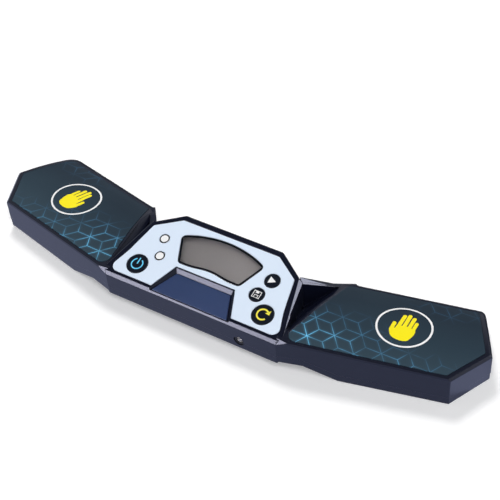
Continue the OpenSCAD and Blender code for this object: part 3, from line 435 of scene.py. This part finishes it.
def pad_film(name, side):
    """Film with a printed lattice of three families of lines, whose cells look like
    cubes. Each family leaves out the third of its edges that would cut a cell."""
    material, tree, shader, add, math = new_material(name)
    where = add("TexCoord").outputs["Object"]
    at = add("SeparateXYZ", Vector=where).outputs
    # u runs along the wing and v across it, in millimetres.
    x = math("SUBTRACT", math("MULTIPLY", at["X"], side / mm), kink_x / mm)
    y = math("ADD", math("MULTIPLY", at["Y"], 1 / mm), body_half / mm)
    cs, sn = np.cos(wing_sweep), np.sin(wing_sweep)
    u = math("ADD", math("MULTIPLY", x, cs), math("MULTIPLY", y, sn))
    v = math("SUBTRACT", math("MULTIPLY", y, cs), math("MULTIPLY", x, sn))
    # Lattice coordinates: u, v = s * edge_a + t * edge_b, from a corner of the lattice.
    edge_a, edge_b = np.array((7.9, -1.6)), np.array((4.3, 5.6))
    start = np.array((1.2, 3.4))
    turn = np.linalg.inv(np.stack([edge_a, edge_b], 1))
    du, dv = math("SUBTRACT", u, start[0]), math("SUBTRACT", v, start[1])
    s = math("ADD", math("MULTIPLY", du, turn[0, 0]), math("MULTIPLY", dv, turn[0, 1]))
    t = math("ADD", math("MULTIPLY", du, turn[1, 0]), math("MULTIPLY", dv, turn[1, 1]))
    area = abs(np.cross(edge_a, edge_b))
    line_half = 0.14

    def kind(i, j):
        """Kind of a lattice corner, 0, 1 or 2."""
        part = math("FRACT", math("DIVIDE", math("SUBTRACT", i, j), 3.0))
        return math("ROUND", math("MULTIPLY", part, 3.0))

    def family(value, edge, i, j, dropped):
        """Lines where value is whole, but for the edges that start at a dropped corner."""
        off = math("ABSOLUTE", math("SUBTRACT", value, math("ROUND", value)))
        away = math("MULTIPLY", off, area / np.linalg.norm(edge))
        ink = add("MapRange", Value=away, From_Min=line_half - 0.07, From_Max=line_half + 0.10,
                  To_Min=1.0, To_Max=0.0)
        halo = add("MapRange", Value=away, From_Min=0.0, From_Max=1.3, To_Min=0.16, To_Max=0.0)
        kept = math("GREATER_THAN", math("ABSOLUTE", math("SUBTRACT", kind(i, j), float(dropped))), 0.5)
        return math("MULTIPLY", math("MAXIMUM", ink.outputs[0], halo.outputs[0]), kept)

    whole = math("ADD", s, t)
    s_low, t_low = math("FLOOR", s), math("FLOOR", t)
    lines = math("MAXIMUM", family(t, edge_a, s_low, math("ROUND", t), 1),
                 family(s, edge_b, math("ROUND", s), t_low, 2))
    across_low = math("SUBTRACT", math("ROUND", whole), s_low)
    lines = math("MAXIMUM", lines, family(whole, edge_a - edge_b, s_low, across_low, 2))

    def patch(centre, reach, strength):
        """Round patch in which the lines show, brightest at its centre."""
        a = math("DIVIDE", math("SUBTRACT", u, centre[0]), reach[0])
        b = math("DIVIDE", math("SUBTRACT", v, centre[1]), reach[1])
        far = math("SQRT", math("ADD", math("MULTIPLY", a, a), math("MULTIPLY", b, b)))
        fade = add("MapRange", Value=far, From_Min=0.05, From_Max=1.0, To_Min=strength, To_Max=0.0)
        return fade.outputs[0]

    shown = math("MAXIMUM", patch((12, 8), (50, 26), 1.0), patch((46, 0), (52, 17), 0.75))
    shown = math("MAXIMUM", shown, patch((72, 48), (24, 14), 0.30))
    patchy = add("TexNoise", Vector=where, Scale=110.0, Detail=1.0)
    uneven = add("MapRange", Value=patchy.outputs["Fac"], From_Min=0.35, From_Max=0.62,
                 To_Min=0.35, To_Max=1.1)
    glow = math("MINIMUM", math("MULTIPLY", math("MULTIPLY", lines, shown), uneven.outputs[0]), 1.0)

    # The ground is slate, a little greener and lighter to the front and outside.
    slow = add("TexNoise", Vector=where, Scale=22.0, Detail=2.0)
    # Painted light and shade: the ground is painted lighter towards the front and darker towards the back,
    # where the pad curves down, on top of the slow noise in its tone.
    front = add("MapRange", Value=v, From_Min=2.0, From_Max=38.0, To_Min=1.0, To_Max=0.0)
    lit = math("ADD", math("MULTIPLY", front.outputs[0], 0.75), math("MULTIPLY", slow.outputs["Fac"], 0.35))
    ground = add("MixRGB", Fac=lit, Color1=(0.0105, 0.0205, 0.0340, 1), Color2=(0.0340, 0.0600, 0.0820, 1))
    ink_tone = add("MixRGB", Fac=shown, Color1=(0.055, 0.17, 0.36, 1), Color2=(0.17, 0.60, 0.95, 1))
    print_tone = add("MixRGB", Fac=glow, Color1=ground.outputs[0], Color2=ink_tone.outputs[0])
    tree.links.new(print_tone.outputs[0], shader.inputs["Base Color"])
    fine = add("TexNoise", Vector=where, Scale=6000.0, Detail=2.0)
    gloss = add("MapRange", Value=fine.outputs["Fac"], To_Min=0.36, To_Max=0.46)
    tree.links.new(gloss.outputs[0], shader.inputs["Roughness"])
    bump = add("Bump", Height=fine.outputs["Fac"], Strength=0.06, Distance=0.03 * mm)
    tree.links.new(bump.outputs[0], shader.inputs["Normal"])
    shader.inputs["Specular IOR Level"].default_value = 0.12
    return material


def printed(name, patches, place, body, material, flipped=False):
    """Thin print. Each patch is a grid of flat points, which place() lays on the surface,
    or a pair of points and triangles. Solidify gives the ink its thickness, downwards."""
    points, faces, base = [], [], 0
    for patch in patches:
        if isinstance(patch, tuple):
            flat, cells = patch
        else:
            rows, cols = patch.shape[:2]
            flat = patch.reshape(-1, 2)
            i, j = np.meshgrid(np.arange(rows - 1), np.arange(cols - 1), indexing="ij")
            first = (i * cols + j).reshape(-1, 1)
            cells = first + np.array([0, 1, cols + 1, cols])
        cells = np.asarray(cells)
        corner = flat[cells]
        after = np.roll(corner, -1, axis=1)
        area = (corner[..., 0] * after[..., 1] - corner[..., 1] * after[..., 0]).sum()
        if (area < 0) != flipped:
            cells = cells[:, ::-1]
        points.append(place(flat[:, 0], flat[:, 1], 0.03 * mm))
        faces += (cells + base).tolist()
        base += len(flat)
    mesh = bpy.data.meshes.new(name)
    mesh.from_pydata(np.concatenate(points).tolist(), [], faces)
    form = bmesh.new()
    form.from_mesh(mesh)
    bmesh.ops.remove_doubles(form, verts=form.verts, dist=1e-7)
    form.to_mesh(mesh)
    form.free()
    mesh.materials.append(material)
    piece = bpy.data.objects.new(name, mesh)
    bpy.context.scene.collection.objects.link(piece)
    ink = piece.modifiers.new("ink_thickness", "SOLIDIFY")
    ink.thickness = 0.05 * mm
    ink.offset = -1
    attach(piece, body)
    return piece


def band(path, width):
    """Flat band: the path's points moved half the width to both sides, square to it."""
    along = np.gradient(path, axis=0)
    across = np.stack([-along[:, 1], along[:, 0]], -1) / np.linalg.norm(along, axis=1)[:, None]
    return np.stack([path - across * width / 2, path + across * width / 2], 1)


def circle_arc(centre, radius, start, end, count):
    """Points on a circle from one angle to another, in degrees."""
    a = np.radians(np.linspace(start, end, count))
    return np.array(centre) + radius * np.stack([np.cos(a), np.sin(a)], -1)


def finger(root, tip, half):
    """Outline of one finger: up its left side, round the tip and down its right side."""
    root, tip = np.array(root), np.array(tip)
    axis = (tip - root) / np.linalg.norm(tip - root)
    left = np.array((-axis[1], axis[0]))
    a = np.linspace(0, np.pi, 9)[:, None]
    end = tip - axis * half + half * (left * np.cos(a) + axis * np.sin(a))
    return np.concatenate([[root + left * half], end, [root - left * half]])


def corners_cut(p, times=2):
    """Open line with each corner cut at a quarter of both its sides, again and again."""
    for _ in range(times):
        near, far = 0.75 * p[:-1] + 0.25 * p[1:], 0.25 * p[:-1] + 0.75 * p[1:]
        p = np.concatenate([p[:1], np.stack([near, far], 1).reshape(-1, 2), p[-1:]])
    return p


# Open hand with its fingers up and its thumb to the left, in millimetres.
palm = np.array([(5.15, 0.3), (5.75, -1.6), (5.15, -5.2), (3.5, -8.8), (-3.8, -8.7), (-6.6, -4.0),
                 (-6.5, -2.4)])
hand_line = np.concatenate([
    finger((-5.5, -2.2), (-5.68, 2.07), 0.95), [(-4.25, -2.2)],
    finger((-2.95, 0.3), (-2.73, 8.6), 0.96), [(-1.75, 0.75)],
    finger((-0.45, 0.9), (-0.48, 9.75), 0.98), [(0.80, 1.15)],
    finger((2.0, 0.9), (2.12, 8.6), 0.93), [(3.10, 0.95)],
    finger((4.2, 0.4), (4.28, 5.7), 0.85), corners_cut(palm)])
# The outline and a grid of points inside it are close enough to follow the pad's arc.
line_step, grid_step = 1.2, 1.15
hand_line = np.concatenate([np.linspace(a, b, 2 + int(np.hypot(*(b - a)) / line_step))[:-1]
                            for a, b in zip(hand_line, np.roll(hand_line, -1, axis=0))])
inner_x, inner_y = np.meshgrid(np.arange(-6.3, 6.0, grid_step), np.arange(-8.5, 9.6, grid_step))
inner_points = np.stack([inner_x.ravel(), inner_y.ravel()], -1)
cut = delaunay_2d_cdt([Vector(p) for p in np.concatenate([hand_line, inner_points])], [],
                      [list(range(len(hand_line)))], 1, 1e-5)
hand_points = np.array([tuple(p) for p in cut[0]])
hand_faces = np.array([f for f in cut[2] if len(f) == 3])

ring_centre = (55.6, 26.6)
ring_r, ring_stroke = 13.15, 1.0
# Side, place on the pad and lean in degrees of each hand.
hands = {"left": (-1, (56.1, 26.2), -6.7), "right": (1, (55.9, 26.0), 8.7)}
white_ink = moulded_plastic("white_ink", (0.88, 0.88, 0.88), 0.42, relief=0.03, unevenness=0.03)
yellow_ink = moulded_plastic("yellow_ink", (0.96, 0.82, 0.002), 0.42, relief=0.03, unevenness=0.03)
for side_name, (side, centre, lean) in hands.items():
    film = pad_film(side_name + "_pad_film", side)
    softened(side_name + "_touch_pad", "case", 0.05 * mm, film)

    def lay(u, v, lift, side=side):
        return on_pad(side, u * mm, v * mm, lift)

    ring = band(circle_arc(ring_centre, ring_r, 0, 360, 129), ring_stroke)
    mirrored = side < 0
    printed(side_name + "_ring_print", [ring], lay, "case", white_ink, mirrored)
    cs, sn = np.cos(np.radians(lean)), np.sin(np.radians(lean))
    hand = np.array(centre) + hand_points @ np.array([(cs, -sn), (sn, cs)])
    printed(side_name + "_hand_print", [(hand, hand_faces)], lay, "case", yellow_ink, mirrored)

# ---- Face plate ----------------------------------------------------------------------
# Sheet of clear polycarbonate with a fine satin front, printed pale blue on its back.
# It is glued in the recess of the tilted face.
face_h = 19.0 * mm
face_tilt = np.radians(13.6)


def on_face(x, w, lift, out=0.0):
    """Point of the tilted face at x to the right and w up its slope, raised by out and
    lift."""
    rise = out + lift
    y = w * np.cos(face_tilt) - rise * np.sin(face_tilt) - body_half
    z = foot_proud + face_h + w * np.sin(face_tilt) + rise * np.cos(face_tilt)
    return np.stack([x, y, z], -1)


face_print = moulded_plastic("face_print", (0.710, 0.810, 0.945), 0.36, relief=0.02, unevenness=0.015,
                             shine=0.35)
softened("face_plate", "case", 0.12 * mm, face_print)

# ---- Accent panel --------------------------------------------------------------------
# Plate of dark blue satin plastic, cut to the outline of the front recess and glued to
# its floor.
accent_satin = moulded_plastic("accent_satin", (0.026, 0.046, 0.125), 0.33, relief=0.05,
                               tint=(0.9, 0.95, 1.0))
softened("accent_panel", "case", 0.1 * mm, accent_satin)

# ---- Display -------------------------------------------------------------------------
# Clear acrylic window over a warm grey liquid crystal glass. A black border is printed
# round the window's edge.
clear_acrylic, tree, shader, add, math = new_material("clear_acrylic")
smear = add("TexNoise", Vector=add("TexCoord").outputs["Object"], Scale=160.0, Detail=3.0)
gloss = add("MapRange", Value=smear.outputs["Fac"], To_Min=0.02, To_Max=0.08)
tree.links.new(gloss.outputs[0], shader.inputs["Roughness"])
shader.inputs["Base Color"].default_value = (0.98, 0.98, 0.98, 1)
shader.inputs["Transmission Weight"].default_value = 1.0
shader.inputs["IOR"].default_value = 1.49
softened("display_lens", "case", 0.1 * mm, clear_acrylic)

grey_crystal, tree, shader, add, math = new_material("grey_crystal")
where = add("TexCoord").outputs["Object"]
across = add("SeparateXYZ", Vector=where).outputs["X"]
# Painted reflection: the glass is painted darker at the left and lighter at the right, as the window's
# sheen brightens across it.
painted_sheen_grade = add("MapRange", Value=across, From_Min=-24 * mm, From_Max=24 * mm)
tone = add("MixRGB", Fac=painted_sheen_grade.outputs[0], Color1=(0.235, 0.217, 0.216, 1), Color2=(0.345, 0.320, 0.316, 1))
tree.links.new(tone.outputs[0], shader.inputs["Base Color"])
matt = add("TexNoise", Vector=where, Scale=5000.0)
gloss = add("MapRange", Value=matt.outputs["Fac"], To_Min=0.45, To_Max=0.6)
tree.links.new(gloss.outputs[0], shader.inputs["Roughness"])
finish("display_glass", grey_crystal)

window_half_low, window_low, wave_half, wave_rise = 17.9, 19.6, 13.2, 1.4
window_half_high, window_high, top_rise = 24.5, 34.4, 5.5
edge_points, corner_span = 720, 13


def window_edge(inset):
    """Closed outline of the window, moved in by inset. Its top is an arc, its sides are
    straight, and its bottom is flat with one cosine wave. A moving average over the points
    beside them rounds the corners."""
    top_r = (window_half_high ** 2 + top_rise ** 2) / (2 * top_rise)
    reach = np.arcsin(window_half_high / top_r)
    a = np.linspace(reach, -reach, 41)
    top = np.stack([top_r * np.sin(a), window_high + top_rise - top_r * (1 - np.cos(a))], -1)
    t = np.linspace(-1, 1, 41)
    wave = np.stack([wave_half * t, window_low + wave_rise * (1 + np.cos(np.pi * t)) / 2], -1)
    corners = np.array([(-window_half_low, window_low), (window_half_low, window_low)])
    closed = np.concatenate([corners[:1], wave, corners[1:], top, corners[:1]])
    steps = np.linalg.norm(np.diff(closed, axis=0), axis=1)
    at = np.concatenate([[0], np.cumsum(steps)])
    where = np.linspace(0, at[-1], edge_points + 1)[:-1]
    even = np.stack([np.interp(where, at, closed[:, k]) for k in (0, 1)], -1)
    weight = np.hanning(2 * corner_span + 3)[1:-1]
    weight /= weight.sum()
    wrapped = np.concatenate([even[-corner_span:], even, even[:corner_span]])
    smooth = np.stack([np.convolve(wrapped[:, k], weight, "valid") for k in (0, 1)], -1)
    along = np.roll(smooth, -1, 0) - np.roll(smooth, 1, 0)
    inward = np.stack([-along[:, 1], along[:, 0]], -1) / np.linalg.norm(along, axis=1)[:, None]
    moved = smooth + inward * inset
    return np.concatenate([moved, moved[:1]])


def lay_on_face(out):
    """Laying function for prints whose ground stands out of the face by out."""
    return lambda x, w, lift: on_face(x * mm, w * mm, lift, out * mm)


black_ink = moulded_plastic("black_ink", (0.004, 0.005, 0.009), 0.40, relief=0.02, shine=0.25)
border = np.stack([window_edge(0.12), window_edge(1.2)], 1)
printed("window_border_print", [border], lay_on_face(-0.1), "case", black_ink)

# ---- Indicator lights ----------------------------------------------------------------
# White diffusing windows moulded in milky plastic, which stand in the tilted face over
# their lights. Each has a black ring printed round its top.
milky = moulded_plastic("milky_window", (0.90, 0.90, 0.90), 0.35, relief=0.02, unevenness=0.02)
light_at = {"ready_light": (-31.6, 29.1), "start_light": (-28.4, 19.3)}
for name, at in light_at.items():
    softened(name + "_window", "case", 0.1 * mm, milky)
    ring = band(circle_arc(at, 2.33, 0, 360, 65), 0.62)
    printed(name + "_ring_print", [ring], lay_on_face(0.05), "case", black_ink)

# ---- Buttons -------------------------------------------------------------------------
# Black satin caps that slide in the face plate's holes, each with a plain sign printed
# on its top: power, play, save and start again.
button_plastic = moulded_plastic("button_plastic", (0.0045, 0.0065, 0.0125), 0.34, relief=0.05,
                                 tint=(0.85, 0.9, 1.0))
reset_ink = moulded_plastic("reset_ink", (0.93, 0.82, 0.08), 0.42, relief=0.03, unevenness=0.03)
cyan_ink = moulded_plastic("cyan_ink", (0.155, 0.680, 1.0), 0.42, relief=0.03, unevenness=0.03)
button_proud = 0.3


def line(*points):
    """Points spread evenly over straight stretches, enough for a band."""
    stretches = [np.linspace(a, b, 5)[:-1] for a, b in zip(points[:-1], points[1:])]
    return np.concatenate(stretches + [[points[-1]]])


def frame_of(low, high, stroke):
    """Four bands round a rectangle."""
    (x0, y0), (x1, y1) = low, high
    h = stroke / 2
    return [band(line((x0, y0 + h), (x1, y0 + h)), stroke), band(line((x0, y1 - h), (x1, y1 - h)), stroke),
            band(line((x0 + h, y0 + stroke), (x0 + h, y1 - stroke)), stroke),
            band(line((x1 - h, y0 + stroke), (x1 - h, y1 - stroke)), stroke)]


triangle = [(0, 1, 2)]
signs = {
    "power": ((-36.6, 10.7), cyan_ink, [band(circle_arc((0, -0.1), 2.95, 118, 422, 61), 0.62),
                                        band(line((0, -0.1), (0, 3.6)), 0.62)]),
    "play": ((31.6, 29.1), white_ink, [(np.array([(-1.7, -1.95), (2.1, 0.0), (-1.7, 1.95)]), triangle)]),
    "save": ((28.4, 19.3), white_ink, frame_of((-2.1, -2.0), (2.1, 2.0), 0.34)
             + frame_of((-1.1, -2.0), (1.1, -0.2), 0.30) + [band(line((-1.0, 1.15), (0.7, 1.15)), 1.0)]),
    "reset": ((36.6, 10.7), reset_ink, [band(circle_arc((0, 0), 2.85, 38, 322, 57), 0.85),
                                        (np.array([(0.75, 1.05), (3.1, 0.75), (3.1, 3.3)]), triangle)]),
}
for name, (at, ink, patches) in signs.items():
    softened(name + "_button", name + "_button", 0.22 * mm, button_plastic)
    at = np.array(at)
    moved = [(p[0] + at, p[1]) if isinstance(p, tuple) else p + at for p in patches]
    printed(name + "_sign_print", moved, lay_on_face(button_proud), name + "_button", ink)
